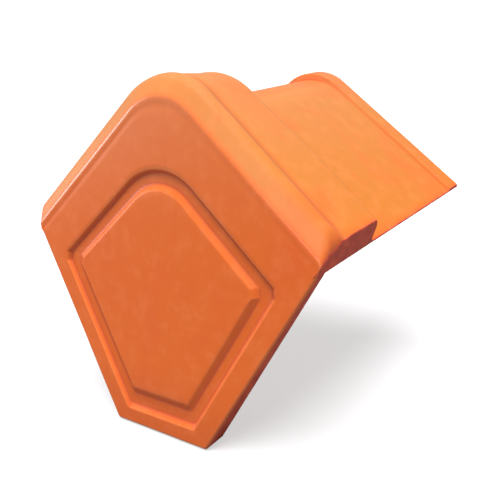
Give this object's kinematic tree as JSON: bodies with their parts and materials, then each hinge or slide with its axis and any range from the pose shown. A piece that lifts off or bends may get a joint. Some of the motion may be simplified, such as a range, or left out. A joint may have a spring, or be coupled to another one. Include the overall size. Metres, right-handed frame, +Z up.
{
  "type": "gable end tile",
  "caption": "Fired clay ridge tile for a gable: an angled saddle with a raised collar, closed at its outer end by a shield-shaped plate with a grooved panel that hangs below the eaves.",
  "frame": {"origin": "on the mid-plane, at the level of the two bedding faces, where the plate's front plane crosses it", "axes": "+X across the ridge, +Y along the ridge from the plate towards the open end, +Z up"},
  "size_m": [0.2548, 0.2379, 0.2357],
  "materials": {
    "fired_clay": "smooth orange fired clay (ceramic, not plastic), satin sheen on the raised surfaces, duller and redder where cut"
  },
  "bodies": {
    "root": {"gable_end_tile": "fired_clay"}
  },
  "joints": []
}
